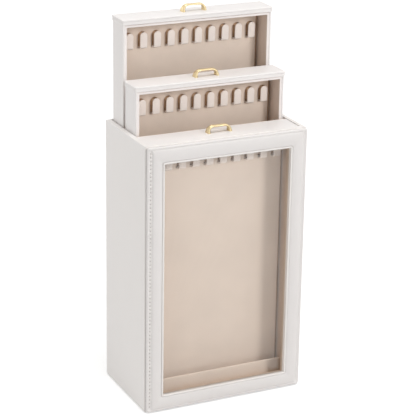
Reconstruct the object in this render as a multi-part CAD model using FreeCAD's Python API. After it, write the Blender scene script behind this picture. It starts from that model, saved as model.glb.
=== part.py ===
"""Upright jewellery organizer: a wrapped case with a clear window and three pull-up drawers.

Millimetres, +Z up, +X to the right and +Y to the back. The origin is on the surface that the
case stands on, below the middle of the case. The front drawer is modelled pushed down, the
middle and rear drawers pulled part of the way up.
"""
import FreeCAD, Part
import math
import os

# Case, outside
CASE_W = 220.0
CASE_D = 129.0
CASE_H = 353.5
WALL_T = 6.2
BACK_T = 3.0
FLOOR_T = 4.0
FELT_T = 1.6
FELT_PROUD = 0.8
WALL_EDGE_R = 1.4
RIM_R = 0.9
REAR_TOP_R = 3.0
REAR_FOOT_R = 5.0

# Front of the case: padded panel, board behind it and the window in both
PADDING_T = 3.4
PADDING_SIDE_INSET = 0.8
PADDING_TOP_INSET = 0.6
PADDING_FOOT_INSET = 0.8
PADDING_EDGE_R = 2.6
PADDING_WINDOW_BEVEL = 0.8
PADDING_CORNER_R = 3.0
FRONT_BOARD_T = 6.6
STILE_W = 24.0
TOP_RAIL_H = 24.7
BOTTOM_RAIL_H = 21.5
WINDOW_CORNER_R = 1.5

# Window trim, pane and the bead that holds the pane from inside
LIP_W = 3.7
LIP_GROOVE = 0.3
LIP_SETBACK = 0.5
LIP_BEVEL = 1.1
LIP_CORNER_R = 3.0
SLEEVE_T = 1.0
PANE_T = 2.0
PANE_CLEARANCE = 0.2
REBATE_MARGIN = 6.0
BEAD_T = 1.6

# Velvet liners and dividers in the case
FLOOR_LINING_T = 0.8
SIDE_LINER_T = 1.5
BACK_LINER_T = 1.0
DIVIDER_T = 2.6
DIVIDER_EDGE_R = 0.8
DIVIDER_SETDOWN = 1.5

# Drawers: places in the case
DRAWER_NAMES = ("front_drawer", "middle_drawer", "rear_drawer")
MIDDLE_LIFT = 61.4
REAR_LIFT = 135.8
SLOT_FRONT_GAP = 2.2
SLOT_REAR_GAP = 1.8
RUNNING_GAP = 0.3
FLOOR_GAP = 0.4

# Drawers: boards, lining and cap
BOARD_T = 2.5
BOARD_EDGE_R = 1.0
DRAWER_BACK_T = 2.2
LINING_SIDE_T = 3.0
LINING_TOP_T = 3.3
LINING_FLOOR_T = 2.6
LINING_SETBACK = 0.6
CAP_BELOW_RIM = 0.7
CAP_SIDE_OVERHANG = 1.4
CAP_END_OVERHANG = 1.5
CAP_TOP_T = 2.6
CAP_CORE_T = 4.5
CAP_CORE_INSET = 0.4
CAP_CORNER_R = 2.0
CAP_EDGE_BEVEL = 0.7
CAP_SEAM_BEVEL = 0.5

# Hooks: a strip bent behind, through and up in front of the panel
HOOK_COUNT = 10
HOOK_END_MARGIN = 12.1
HOOK_W = 9.6
HOOK_T = 1.6
HOOK_H = 21.0
HOOK_STANDOFF = 4.3
HOOK_LEAN_DEG = 2.0
HOOK_FOOT_H = 10.0
HOOK_BEND_BEVEL = 0.9
HOOK_CAP_DROP = 43.9

# Hook panel, with an arched cut-out behind each hook
PANEL_T = 2.4
PANEL_BACK_GAP = 2.2
PANEL_SIDE_GAP = 3.6
CUTOUT_SIDE_GAP = 0.7

# Low fence that keeps chains in the bottom of a drawer
TRAY_DEPTH = 11.1
FENCE_T = 2.2
FENCE_H = 19.4
FENCE_R = 0.9

# Bridge handle and its two screws
HANDLE_L = 34.0
HANDLE_H = 9.2
HANDLE_STRAP_W = 8.4
HANDLE_LEG_T = 4.0
HANDLE_BAR_T = 3.0
HANDLE_BEND_R = 6.0
HANDLE_EDGE_BEVEL = 0.8
SCREW_R = 1.25
SCREW_HOLE_GAP = 0.15
SCREW_IN_LEG = 4.0
SCREW_HEAD_R = 2.3
SCREW_HEAD_H = 1.5
SCREW_HEAD_GAP = 0.2
SCREW_SLOT_W = 0.6
SCREW_SLOT_DEPTH = 0.6

# Planes of the case
HALF_W = CASE_W / 2
FRONT_Y = -CASE_D / 2
REAR_Y = CASE_D / 2
WALL_FOOT_Z = FELT_PROUD
WALL_IN_X = HALF_W - WALL_T
BOARD_FRONT_Y = FRONT_Y + PADDING_T
BOARD_REAR_Y = BOARD_FRONT_Y + FRONT_BOARD_T
BACK_IN_Y = REAR_Y - BACK_T
FLOOR_TOP_Z = FELT_T + FLOOR_T
LINING_TOP_Z = FLOOR_TOP_Z + FLOOR_LINING_T
LINER_IN_X = WALL_IN_X - SIDE_LINER_T
BACK_LINER_Y = BACK_IN_Y - BACK_LINER_T

# Window opening
WINDOW_X = HALF_W - STILE_W
WINDOW_Z0 = BOTTOM_RAIL_H
WINDOW_Z1 = CASE_H - TOP_RAIL_H
PANE_FRONT_Y = BOARD_REAR_Y - BEAD_T - PANE_T
PANE_REAR_Y = PANE_FRONT_Y + PANE_T

# Slots and drawer bodies
SLOT_D = (BACK_LINER_Y - BOARD_REAR_Y - 2 * DIVIDER_T) / 3
SLOT_PITCH = SLOT_D + DIVIDER_T
BODY_X = LINER_IN_X - RUNNING_GAP
BODY_D = SLOT_D - SLOT_FRONT_GAP - SLOT_REAR_GAP
BODY_Z0 = LINING_TOP_Z + FLOOR_GAP
CAP_X = BODY_X + CAP_SIDE_OVERHANG
CAP_Z1 = CASE_H - CAP_BELOW_RIM
CAP_SPLIT_Z = CAP_Z1 - CAP_TOP_T
CAP_Z0 = CAP_SPLIT_Z - CAP_CORE_T
LINER_TOP_Z = CAP_Z0 - RUNNING_GAP
LINING_X = BODY_X - BOARD_T
INNER_X = LINING_X - LINING_SIDE_T
INNER_Z0 = BODY_Z0 + BOARD_T + LINING_FLOOR_T
INNER_Z1 = CAP_Z0 - LINING_TOP_T
PANEL_DEPTH = BODY_D - DRAWER_BACK_T - PANEL_BACK_GAP - PANEL_T
PANEL_X = INNER_X - PANEL_SIDE_GAP
FENCE_DEPTH = PANEL_DEPTH - TRAY_DEPTH - FENCE_T
CUTOUT_Z0 = CAP_Z1 - HOOK_CAP_DROP
CUTOUT_W = HOOK_W + 2 * CUTOUT_SIDE_GAP
HOOK_PITCH = 2 * (INNER_X - HOOK_END_MARGIN) / (HOOK_COUNT - 1)
SCREW_HOLE_R = SCREW_R + SCREW_HOLE_GAP

# Working limits: what counts as the same place, how far a cut runs past, an edge's share of its room
SAME = 0.01
PAST = 1.0
EDGE_SHARE = 0.95


def vec(x, y, z):
    return FreeCAD.Vector(x, y, z)


def block(x0, x1, y0, y1, z0, z1):
    """Rectangular block between two corners."""
    return Part.makeBox(x1 - x0, y1 - y0, z1 - z0, vec(x0, y0, z0))


def edges_in(shape, x=None, y=None, z=None, along=None):
    """Edges lying wholly at the given coordinates, and along one axis if that is named."""
    found = []
    for edge in shape.Edges:
        box = edge.BoundBox
        spans = {"x": (box.XMin, box.XMax), "y": (box.YMin, box.YMax), "z": (box.ZMin, box.ZMax)}
        wanted = {"x": x, "y": y, "z": z}
        in_place = all(
            abs(end - value) < SAME
            for axis, value in wanted.items() if value is not None
            for end in spans[axis]
        )
        runs_along = along is None or all(
            high - low < SAME for axis, (low, high) in spans.items() if axis != along
        )
        if in_place and runs_along:
            found.append(edge)
    return found


def bevelled(shape, size, room, edges):
    """Chamfer the edges, with a smaller size only where the room is too small."""
    return shape.makeChamfer(min(size, EDGE_SHARE * room), edges)


def rounded(shape, radius, room, edges):
    """Fillet the edges, with less than the wanted radius only where the room is too small."""
    return shape.makeFillet(min(radius, EDGE_SHARE * room), edges)


def ring(outer_x, inner_x, y0, y1, outer_z, inner_z, outer_r=0.0, inner_r=0.0):
    """Upright rectangular frame; outer_z and inner_z are (low, high) pairs."""
    outside = block(-outer_x, outer_x, y0, y1, outer_z[0], outer_z[1])
    if outer_r > 0:
        outside = outside.makeFillet(outer_r, edges_in(outside, along="y"))
    inside = block(-inner_x, inner_x, y0 - PAST, y1 + PAST, inner_z[0], inner_z[1])
    if inner_r > 0:
        inside = inside.makeFillet(inner_r, edges_in(inside, along="y"))
    return outside.cut(inside)


def arch_prism(centre_x, width, z0, height, y0, y1):
    """Round-topped tongue outline, pushed through from y0 to y1."""
    half = width / 2
    spring_z = z0 + height - half
    left_low = vec(centre_x - half, y0, z0)
    left_high = vec(centre_x - half, y0, spring_z)
    crown = vec(centre_x, y0, z0 + height)
    right_high = vec(centre_x + half, y0, spring_z)
    right_low = vec(centre_x + half, y0, z0)
    outline = Part.Wire([
        Part.makeLine(left_low, left_high),
        Part.Arc(left_high, crown, right_high).toShape(),
        Part.makeLine(right_high, right_low),
        Part.makeLine(right_low, left_low),
    ])
    return Part.Face(outline).extrude(vec(0, y1 - y0, 0))


# Case

def side_panel(side):
    """Wrapped side wall; side is -1 for the left one and 1 for the right one."""
    x0, x1 = sorted((side * WALL_IN_X, side * HALF_W))
    panel = block(x0, x1, BOARD_FRONT_Y, REAR_Y, WALL_FOOT_Z, CASE_H)
    panel = panel.makeFillet(REAR_TOP_R, edges_in(panel, y=REAR_Y, z=CASE_H, along="x"))
    panel = panel.makeFillet(REAR_FOOT_R, edges_in(panel, y=REAR_Y, z=WALL_FOOT_Z, along="x"))
    return rounded(panel, WALL_EDGE_R, WALL_T / 2, edges_in(panel, x=side * HALF_W))


def back_panel():
    panel = block(-WALL_IN_X, WALL_IN_X, BACK_IN_Y, REAR_Y, WALL_FOOT_Z, CASE_H)
    top_edges = edges_in(panel, z=CASE_H, along="x")
    return rounded(panel, WALL_EDGE_R, BACK_T / 2, top_edges)


def floor_layer(z0, z1):
    """Sheet that fills the case from wall to wall between two heights."""
    return block(-WALL_IN_X, WALL_IN_X, BOARD_REAR_Y, BACK_IN_Y, z0, z1)


def side_liner(side):
    x0, x1 = sorted((side * LINER_IN_X, side * WALL_IN_X))
    return block(x0, x1, BOARD_REAR_Y, BACK_IN_Y, LINING_TOP_Z, LINER_TOP_Z)


def back_liner():
    return block(-LINER_IN_X, LINER_IN_X, BACK_LINER_Y, BACK_IN_Y, LINING_TOP_Z, LINER_TOP_Z)


def divider(slot):
    """Velvet-covered board behind the given slot, counted from the front."""
    y1 = BOARD_REAR_Y + (slot + 1) * SLOT_PITCH
    top = CASE_H - DIVIDER_SETDOWN
    board = block(-LINER_IN_X, LINER_IN_X, y1 - DIVIDER_T, y1, LINING_TOP_Z, top)
    return rounded(board, DIVIDER_EDGE_R, DIVIDER_T / 2, edges_in(board, z=top, along="x"))


# Front of the case

def front_board():
    """Board with the window cut through it and a rebate for the pane at the back."""
    opening_x = WINDOW_X + SLEEVE_T
    opening_z = (WINDOW_Z0 - SLEEVE_T, WINDOW_Z1 + SLEEVE_T)
    rebate_x = opening_x + REBATE_MARGIN
    rebate_z = (opening_z[0] - REBATE_MARGIN, opening_z[1] + REBATE_MARGIN)
    board = ring(WALL_IN_X, opening_x, BOARD_FRONT_Y, BOARD_REAR_Y, (WALL_FOOT_Z, CASE_H), opening_z)
    rebate = block(-rebate_x, rebate_x, PANE_FRONT_Y, BOARD_REAR_Y + PAST, rebate_z[0], rebate_z[1])
    board = rounded(board, RIM_R, FRONT_BOARD_T / 2, edges_in(board, z=CASE_H, along="x"))
    return board.cut(rebate)


def window_face_edges(skin, reach):
    """Front edges of the window cut, which lies the given reach outside the opening."""
    found = []
    for edge in edges_in(skin, y=FRONT_Y):
        middle = edge.BoundBox.Center
        beside_window = abs(middle.x) < WINDOW_X + reach + SAME
        level_with_window = WINDOW_Z0 - reach - SAME < middle.z < WINDOW_Z1 + reach + SAME
        if beside_window and level_with_window:
            found.append(edge)
    return found


def front_padding():
    """Padded skin over the front board, round at its outer edge and drawn in at the window."""
    reach = LIP_W + LIP_GROOVE
    outer_z = (WALL_FOOT_Z + PADDING_FOOT_INSET, CASE_H - PADDING_TOP_INSET)
    inner_z = (WINDOW_Z0 - reach, WINDOW_Z1 + reach)
    skin = block(PADDING_SIDE_INSET - HALF_W, HALF_W - PADDING_SIDE_INSET,
                 FRONT_Y, BOARD_FRONT_Y, outer_z[0], outer_z[1])
    skin = skin.makeFillet(PADDING_CORNER_R, edges_in(skin, along="y"))
    skin = rounded(skin, PADDING_EDGE_R, PADDING_T, edges_in(skin, y=FRONT_Y))
    window = block(-WINDOW_X - reach, WINDOW_X + reach, FRONT_Y - PAST, BOARD_FRONT_Y + PAST,
                   inner_z[0], inner_z[1])
    window = window.makeFillet(LIP_CORNER_R + LIP_GROOVE, edges_in(window, along="y"))
    skin = skin.cut(window)
    return bevelled(skin, PADDING_WINDOW_BEVEL, PADDING_T, window_face_edges(skin, reach))


def window_bezel():
    """Trim ring: a rounded lip on the board's face and a sleeve back to the pane."""
    lip_y = FRONT_Y + LIP_SETBACK
    inner_z = (WINDOW_Z0, WINDOW_Z1)
    lip = ring(WINDOW_X + LIP_W, WINDOW_X, lip_y, BOARD_FRONT_Y,
               (WINDOW_Z0 - LIP_W, WINDOW_Z1 + LIP_W), inner_z,
               LIP_CORNER_R, WINDOW_CORNER_R)
    room = min(LIP_W / 2, PADDING_T - LIP_SETBACK)
    lip = bevelled(lip, LIP_BEVEL, room, edges_in(lip, y=lip_y))
    sleeve = ring(WINDOW_X + SLEEVE_T, WINDOW_X, BOARD_FRONT_Y, PANE_FRONT_Y,
                  (WINDOW_Z0 - SLEEVE_T, WINDOW_Z1 + SLEEVE_T), inner_z, 0.0, WINDOW_CORNER_R)
    return lip.fuse(sleeve).removeSplitter()


def window_pane():
    reach = SLEEVE_T + REBATE_MARGIN - PANE_CLEARANCE
    return block(-WINDOW_X - reach, WINDOW_X + reach, PANE_FRONT_Y, PANE_REAR_Y,
                 WINDOW_Z0 - reach, WINDOW_Z1 + reach)


def pane_bead():
    """Flat bead glued in the rebate behind the pane."""
    reach = SLEEVE_T + REBATE_MARGIN
    return ring(WINDOW_X + reach, WINDOW_X + SLEEVE_T, PANE_REAR_Y, BOARD_REAR_Y,
                (WINDOW_Z0 - reach, WINDOW_Z1 + reach), (WINDOW_Z0 - SLEEVE_T, WINDOW_Z1 + SLEEVE_T))


# Drawers, drawn pushed down and with their front edge at y = 0

def drawer_side(side):
    x0, x1 = sorted((side * LINING_X, side * BODY_X))
    board = block(x0, x1, 0, BODY_D, BODY_Z0, CAP_Z0)
    return rounded(board, BOARD_EDGE_R, BOARD_T, edges_in(board, x=side * BODY_X, along="z"))


def drawer_bottom():
    return block(-LINING_X, LINING_X, 0, BODY_D, BODY_Z0, BODY_Z0 + BOARD_T)


def drawer_back():
    return block(-LINING_X, LINING_X, BODY_D - DRAWER_BACK_T, BODY_D, BODY_Z0 + BOARD_T, CAP_Z0)


def drawer_lining():
    """Velvet-covered inner frame: both sides, floor and ceiling in one folded piece."""
    return ring(LINING_X, INNER_X, LINING_SETBACK, BODY_D - DRAWER_BACK_T,
                (BODY_Z0 + BOARD_T, CAP_Z0), (INNER_Z0, INNER_Z1))


def screw_places():
    """X and Y of the two handle screws of a drawer."""
    x = (HANDLE_L - HANDLE_LEG_T) / 2
    return [(-x, BODY_D / 2), (x, BODY_D / 2)]


def cap_plate(inset, z0, z1):
    """Plate with rounded corners, inset from the cap's outline."""
    x = CAP_X - inset
    end = CAP_END_OVERHANG - inset
    plate = block(-x, x, -end, BODY_D + end, z0, z1)
    return plate.makeFillet(CAP_CORNER_R - inset, edges_in(plate, along="z"))


def drill_for_screws(plate, radius, z0, z1):
    for x, y in screw_places():
        plate = plate.cut(Part.makeCylinder(radius, z1 - z0, vec(x, y, z0)))
    return plate


def cap_top():
    """Thin wrapped board that makes the top face of the cap."""
    plate = cap_plate(0.0, CAP_SPLIT_Z, CAP_Z1)
    plate = bevelled(plate, CAP_EDGE_BEVEL, CAP_TOP_T - CAP_SEAM_BEVEL, edges_in(plate, z=CAP_Z1))
    plate = bevelled(plate, CAP_SEAM_BEVEL, CAP_TOP_T / 2, edges_in(plate, z=CAP_SPLIT_Z))
    return drill_for_screws(plate, SCREW_HOLE_R, CAP_SPLIT_Z, CAP_Z1)


def cap_core():
    """Lower board of the cap, with counterbores for the screw heads."""
    plate = cap_plate(CAP_CORE_INSET, CAP_Z0, CAP_SPLIT_Z)
    plate = bevelled(plate, CAP_SEAM_BEVEL, CAP_CORE_T / 2, edges_in(plate, z=CAP_SPLIT_Z))
    plate = drill_for_screws(plate, SCREW_HOLE_R, CAP_Z0, CAP_SPLIT_Z)
    return drill_for_screws(plate, SCREW_HEAD_R + SCREW_HEAD_GAP, CAP_Z0, CAP_Z0 + SCREW_HEAD_H)


def hook_places():
    """Middle of each hook along X."""
    first = -HOOK_PITCH * (HOOK_COUNT - 1) / 2
    return [first + index * HOOK_PITCH for index in range(HOOK_COUNT)]


def hook_panel():
    """Board across the drawer with one arched cut-out for each hook."""
    panel = block(-PANEL_X, PANEL_X, PANEL_DEPTH, PANEL_DEPTH + PANEL_T, INNER_Z0, INNER_Z1)
    cutouts = [
        arch_prism(x, CUTOUT_W, CUTOUT_Z0, HOOK_H, PANEL_DEPTH - PAST, PANEL_DEPTH + PANEL_T + PAST)
        for x in hook_places()
    ]
    return panel.cut(Part.makeCompound(cutouts))


def hook_strip():
    """One hook on the middle of the panel: foot behind it, neck through it, tongue in front."""
    foot_y0 = PANEL_DEPTH + PANEL_T
    foot_y1 = foot_y0 + HOOK_T
    tongue_y1 = PANEL_DEPTH - HOOK_STANDOFF
    tongue_y0 = tongue_y1 - HOOK_T
    foot_z = CUTOUT_Z0 - HOOK_FOOT_H
    neck_z1 = CUTOUT_Z0 + HOOK_T
    top_z = CUTOUT_Z0 + HOOK_H
    lean = HOOK_H * math.tan(math.radians(HOOK_LEAN_DEG))
    left = -HOOK_W / 2
    corners = [
        vec(left, foot_y0, foot_z),
        vec(left, foot_y1, foot_z),
        vec(left, foot_y1, neck_z1),
        vec(left, tongue_y1, neck_z1),
        vec(left, tongue_y1 - lean, top_z),
        vec(left, tongue_y0 - lean, top_z),
        vec(left, tongue_y0, CUTOUT_Z0),
        vec(left, foot_y0, CUTOUT_Z0),
    ]
    profile = Part.Face(Part.makePolygon(corners + corners[:1]))
    strip = profile.extrude(vec(HOOK_W, 0, 0))
    bends = edges_in(strip, y=tongue_y0, z=CUTOUT_Z0, along="x")
    bends += edges_in(strip, y=foot_y1, z=neck_z1, along="x")
    strip = bevelled(strip, HOOK_BEND_BEVEL, HOOK_T, bends)
    outline = arch_prism(0, HOOK_W, foot_z, top_z - foot_z, tongue_y0 - lean - PAST, foot_y1 + PAST)
    return strip.common(outline)


def hooks():
    strip = hook_strip()
    row = []
    for x in hook_places():
        hook = strip.copy()
        hook.translate(vec(x, 0, 0))
        row.append(hook)
    return Part.makeCompound(row)


def fence():
    top = INNER_Z0 + FENCE_H
    board = block(-INNER_X, INNER_X, FENCE_DEPTH, FENCE_DEPTH + FENCE_T, INNER_Z0, top)
    return rounded(board, FENCE_R, FENCE_T / 2, edges_in(board, z=top, along="x"))


def handle():
    """Bridge of flat strap, standing on the cap."""
    half = HANDLE_L / 2
    top = CAP_Z1 + HANDLE_H
    y0 = (BODY_D - HANDLE_STRAP_W) / 2
    y1 = y0 + HANDLE_STRAP_W
    strap = block(-half, half, y0, y1, CAP_Z1, top)
    strap = strap.makeFillet(HANDLE_BEND_R, edges_in(strap, z=top, along="y"))
    inner = half - HANDLE_LEG_T
    gap_top = top - HANDLE_BAR_T
    gap = block(-inner, inner, y0 - PAST, y1 + PAST, CAP_Z1 - PAST, gap_top)
    gap = gap.makeFillet(HANDLE_BEND_R - HANDLE_BAR_T, edges_in(gap, z=gap_top, along="y"))
    strap = strap.cut(gap)
    rims = [
        edge for edge in edges_in(strap, y=y0) + edges_in(strap, y=y1)
        if edge.BoundBox.ZMax > CAP_Z1 + SAME
    ]
    strap = bevelled(strap, HANDLE_EDGE_BEVEL, HANDLE_BAR_T / 2, rims)
    return drill_for_screws(strap, SCREW_R, CAP_Z1, CAP_Z1 + SCREW_IN_LEG)


def handle_screws():
    """Two slotted screws that come up through the cap into the legs of the handle."""
    head_top = CAP_Z0 + SCREW_HEAD_H
    shank_h = CAP_Z1 + SCREW_IN_LEG - head_top
    screws = []
    for x, y in screw_places():
        head = Part.makeCylinder(SCREW_HEAD_R, SCREW_HEAD_H, vec(x, y, CAP_Z0))
        slot = block(x - SCREW_HEAD_R - PAST, x + SCREW_HEAD_R + PAST,
                     y - SCREW_SLOT_W / 2, y + SCREW_SLOT_W / 2,
                     CAP_Z0 - PAST, CAP_Z0 + SCREW_SLOT_DEPTH)
        shank = Part.makeCylinder(SCREW_R, shank_h, vec(x, y, head_top))
        screws.append(head.cut(slot).fuse(shank))
    return Part.makeCompound(screws)


def save(shape, node):
    shape.exportStep("parts/" + node + ".step")


def save_case():
    save(side_panel(-1), "left_side_panel")
    save(side_panel(1), "right_side_panel")
    save(back_panel(), "back_panel")
    save(floor_layer(0, FELT_T), "base_felt")
    save(floor_layer(FELT_T, FLOOR_TOP_Z), "floor_panel")
    save(floor_layer(FLOOR_TOP_Z, LINING_TOP_Z), "floor_lining")
    save(side_liner(-1), "left_liner")
    save(side_liner(1), "right_liner")
    save(back_liner(), "back_liner")
    save(divider(0), "front_divider")
    save(divider(1), "rear_divider")
    save(front_board(), "front_board")
    save(front_padding(), "front_padding")
    save(window_bezel(), "window_bezel")
    save(window_pane(), "window_pane")
    save(pane_bead(), "pane_bead")


def save_drawers():
    """The three drawers are alike; each stands in its own slot at its own height."""
    pieces = {
        "left_board": drawer_side(-1),
        "right_board": drawer_side(1),
        "bottom_board": drawer_bottom(),
        "back_board": drawer_back(),
        "lining": drawer_lining(),
        "cap_top": cap_top(),
        "cap_core": cap_core(),
        "hook_panel": hook_panel(),
        "hooks": hooks(),
        "fence": fence(),
        "handle": handle(),
        "handle_screws": handle_screws(),
    }
    lifts = (0.0, MIDDLE_LIFT, REAR_LIFT)
    for slot, drawer in enumerate(DRAWER_NAMES):
        place = vec(0, BOARD_REAR_Y + SLOT_FRONT_GAP + slot * SLOT_PITCH, lifts[slot])
        for name, shape in pieces.items():
            piece = shape.copy()
            piece.translate(place)
            save(piece, drawer + "_" + name)


os.makedirs("parts", exist_ok=True)
save_case()
save_drawers()
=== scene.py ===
"""Finishes an upright jewellery organizer: coverings, padding, stitches, hooks, handles and stage."""

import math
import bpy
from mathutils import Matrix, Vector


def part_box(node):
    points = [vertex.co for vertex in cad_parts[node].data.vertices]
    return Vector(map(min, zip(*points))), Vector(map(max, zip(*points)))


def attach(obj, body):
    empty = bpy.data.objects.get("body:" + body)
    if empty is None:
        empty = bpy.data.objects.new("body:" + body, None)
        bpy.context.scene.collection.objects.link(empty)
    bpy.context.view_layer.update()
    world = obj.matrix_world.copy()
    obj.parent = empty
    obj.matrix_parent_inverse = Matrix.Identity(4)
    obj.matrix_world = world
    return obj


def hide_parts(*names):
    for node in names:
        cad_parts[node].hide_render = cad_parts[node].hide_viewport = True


bl_info = {
    "name": "Jewellery Organizer Finishes",
    "version": (1, 0, 0),
    "blender": (4, 5, 0),
    "location": "View3D > Sidebar > Organizer",
    "description": "Builds the padding, velvet fittings, handles and studio of a jewellery organizer",
    "category": "Object",
}

import bmesh
import bpy
from bpy.props import FloatProperty, FloatVectorProperty, IntProperty, PointerProperty
from mathutils import Matrix, Vector

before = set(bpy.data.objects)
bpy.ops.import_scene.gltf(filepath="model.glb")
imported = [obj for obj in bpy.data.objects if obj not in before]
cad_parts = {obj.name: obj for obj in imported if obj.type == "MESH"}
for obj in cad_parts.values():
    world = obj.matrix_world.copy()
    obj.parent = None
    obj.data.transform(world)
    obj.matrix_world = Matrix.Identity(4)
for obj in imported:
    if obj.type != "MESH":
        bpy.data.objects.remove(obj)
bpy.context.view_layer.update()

MM = 0.001
DRAWERS = ("front_drawer", "middle_drawer", "rear_drawer")

# Small lengths and offsets that a user has no need to change
LIP_REACH = 3.7 * MM
WINDOW_CORNER = 0.6 * MM
EDGE_DEPTH = 0.9 * MM
EDGE_DROP = Vector((0.0, 0.0, 0.6 * MM))
BACKING_THICKNESS = 0.3 * MM
FELT_INSET = Vector((0.4 * MM, 0.4 * MM, 0.0))
CAP_RADIUS_LEFT = 0.4 * MM
TRIM_RADIUS_LEFT = 0.5 * MM
THINNEST_STRAP = 0.06 * MM
GRAIN_RELIEF = 0.1 * MM

# Widths of the rounding along a piece's edges
FELT_ROUND = 0.5 * MM
EDGE_ROUND = 0.5 * MM
LINING_ROUND = 0.7 * MM
FENCE_ROUND = 0.9 * MM

# Steps of the curved shapes: shares of a run or a radius, and degrees of an arch
TUCK_SHARES = (0.0, 0.15, 0.35, 0.65)
CHANNEL_SHARES = (-1.5, -1.2, -0.9, -0.5, 0, 0.5, 0.9, 1.2, 1.5)
ARCH_DEGREES = (12, 24, 36, 48, 58, 67, 75, 82, 87)
DENT_STEPS = ((1.0, 0.12), (0.95, -0.07), (0.5, -0.05), (0.1, -0.04))

# Proportions, a power and counts of points
DENT_SHARE = 0.45
STRIP_ROUND = 0.7
HOOK_BEND = 1.3
STRAP_POWER = 2.5
BEND_POINTS = 10
STRAP_POINTS = 72

# Angles in degrees; edges sharper than these stay crisp
PLAIN_SHARP = 40
PANEL_SHARP = 35
ROUND_SHARP = 50
PADDING_SHARP = 60

# Stage
LAMP_TARGET = (0.0, 0.0, 0.25)
LAMPS = (
    ("key_lamp", (0.91, -2.05, 1.35), 0.5, "key_power"),
    ("fill_lamp", (-2.15, 0.70, 1.31), 1.2, "fill_power"),
    ("top_lamp", (0.00, -0.35, 2.73), 1.0, "top_power"),
)
FLOOR_REACH = 9.0
FLOOR_COLOUR = (0.8, 0.8, 0.8, 1.0)
SHADOW_COLOUR = (0.85, 0.85, 0.845, 1.0)
# Floor glow from its weakest near the object to its strongest further off; the weak glow near the object is
# painted shade.
GLOW_REACH = (0.3, 0.9)
FLOOR_GLOW = (0.40, 0.62)
WORLD_COLOUR = (1.0, 0.995, 0.985, 1.0)
SENSOR_WIDTH = 36.0
VIEW_LIMIT = 50.0

# Spans that textures fill, and what the surfaces make of them
NOISE_SPAN = (0.3, 0.7)
PATCH_SPAN = (0.35, 0.65)
GRAIN_SPAN = (0.3, 1.4)
GRAIN_TONE = (1.012, 0.982)
CLOUD_TONE = (0.985, 1.01)
LEATHER_ROUGHNESS = (0.40, 0.52)
PILE_TONE = (0.94, 1.05)
PATCH_TONE = (0.965, 1.02)
VELVET_ROUGHNESS = (0.82, 0.95)
SMUDGE_TONE = (0.96, 1.03)
METAL_ROUGHNESS = (0.30, 0.42)
PANE_COLOUR = (0.92, 0.90, 0.88, 1.0)


# Colours and small helpers

def srgb(red, green, blue):
    """Scene-linear colour from the 0 to 255 values that a screen shows."""
    channels = []
    for value in (red, green, blue):
        share = value / 255
        channels.append(share / 12.92 if share <= 0.04045 else ((share + 0.055) / 1.055) ** 2.4)
    return tuple(channels)


def colour_property(name, description, default):
    """Colour that a user may change."""
    return FloatVectorProperty(name=name, description=description, subtype="COLOR",
                               min=0.0, max=1.0, default=default)


def length_property(name, description, default):
    """Length in metres that a user may change."""
    return FloatProperty(name=name, description=description, subtype="DISTANCE",
                         unit="LENGTH", min=0.0, precision=5, default=default)


def angle_property(name, description, degrees):
    """Angle that a user may change, given in degrees."""
    return FloatProperty(name=name, description=description, unit="ROTATION",
                         subtype="ANGLE", default=math.radians(degrees))


def power_property(name, description, default):
    """Power of a lamp that a user may change."""
    return FloatProperty(name=name, description=description, unit="POWER", default=default)


class StageSettings(bpy.types.PropertyGroup):
    """Camera and lamps"""
    azimuth: angle_property("Azimuth", "Turn of the camera about the case", -25.81)
    elevation: angle_property("Elevation", "Height of the camera as an angle", 19.73)
    roll: angle_property("Roll", "Tilt of the camera about its own axis", 0.99)
    distance: length_property("Distance", "From the camera to the point it aims at", 2.1889)
    aim: FloatVectorProperty(name="Aim", description="Point that the camera looks at", subtype="TRANSLATION",
                             unit="LENGTH", default=(0.0121, 0.0154, 0.2336))
    lens: FloatProperty(name="Lens", description="Focal length on a 36 mm sensor", unit="CAMERA",
                        default=146.92)
    key_power: power_property("Key", "Power of the lamp at the front right", 19.5)
    fill_power: power_property("Fill", "Power of the lamp at the left", 11.0)
    top_power: power_property("Top", "Power of the lamp overhead", 21.0)
    ambient: FloatProperty(name="Ambient", description="Brightness of the surroundings",
                           min=0.0, default=0.47)


class FinishSettings(bpy.types.PropertyGroup):
    """Colours of the coverings and fittings"""
    case_leather: colour_property("Case leather", "Covering of the case", srgb(244, 240, 237))
    front_leather: colour_property("Front leather", "Covering of the padded front", srgb(235, 231, 229))
    drawer_leather: colour_property("Drawer leather", "Covering of the drawers", srgb(244, 240, 238))
    lip: colour_property("Window lip", "Smooth trim round the window", srgb(240, 236, 233))
    velvet: colour_property("Velvet", "Hook panels and fences", srgb(238, 222, 208))
    # Painted shade: the lining is the panel's velvet made darker, to stand in for the shade on a drawer's
    # inner walls.
    lining: colour_property("Lining", "Velvet round the inside of a drawer", srgb(226, 208, 194))
    # Painted shade: the backing is velvet, coloured darker and browner to stand in for the shade in the
    # cavity seen through the hook cut-outs.
    backing_painted_shade: colour_property("Backing", "Velvet behind the hook panels", srgb(206, 172, 142))
    edge_leather: colour_property("Edge leather", "White edge round a drawer's opening", srgb(250, 243, 240))
    # Painted shade: the reveal is velvet, coloured darker to stand in for the shade on the window's inner
    # wall.
    reveal: colour_property("Reveal", "Velvet inside the window's trim", srgb(206, 188, 172))
    hook_velvet: colour_property("Hook velvet", "Hooks", srgb(250, 240, 233))
    felt: colour_property("Felt", "Sheet under the base", srgb(212, 202, 190))
    board: colour_property("Board", "Bare board inside", srgb(196, 180, 158))
    gold: colour_property("Gold", "Handles", srgb(218, 199, 158))
    steel: colour_property("Steel", "Handle screws", srgb(176, 176, 174))
    thread: colour_property("Thread", "Stitches", srgb(238, 235, 232))
    # Painted shade: the darker colour in the dents between the stitches stands in for the shade in each
    # dimple.
    painted_shade_dent: colour_property("Dent", "Leather drawn in between the stitches", srgb(190, 185, 181))
    # Painted shade: a dark colour on thin boxes in the gap beside the padding, standing in for the gap's
    # shadow.
    seam: colour_property("Seam", "Shaded gap between the padding and the sides", srgb(150, 144, 141))


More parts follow.
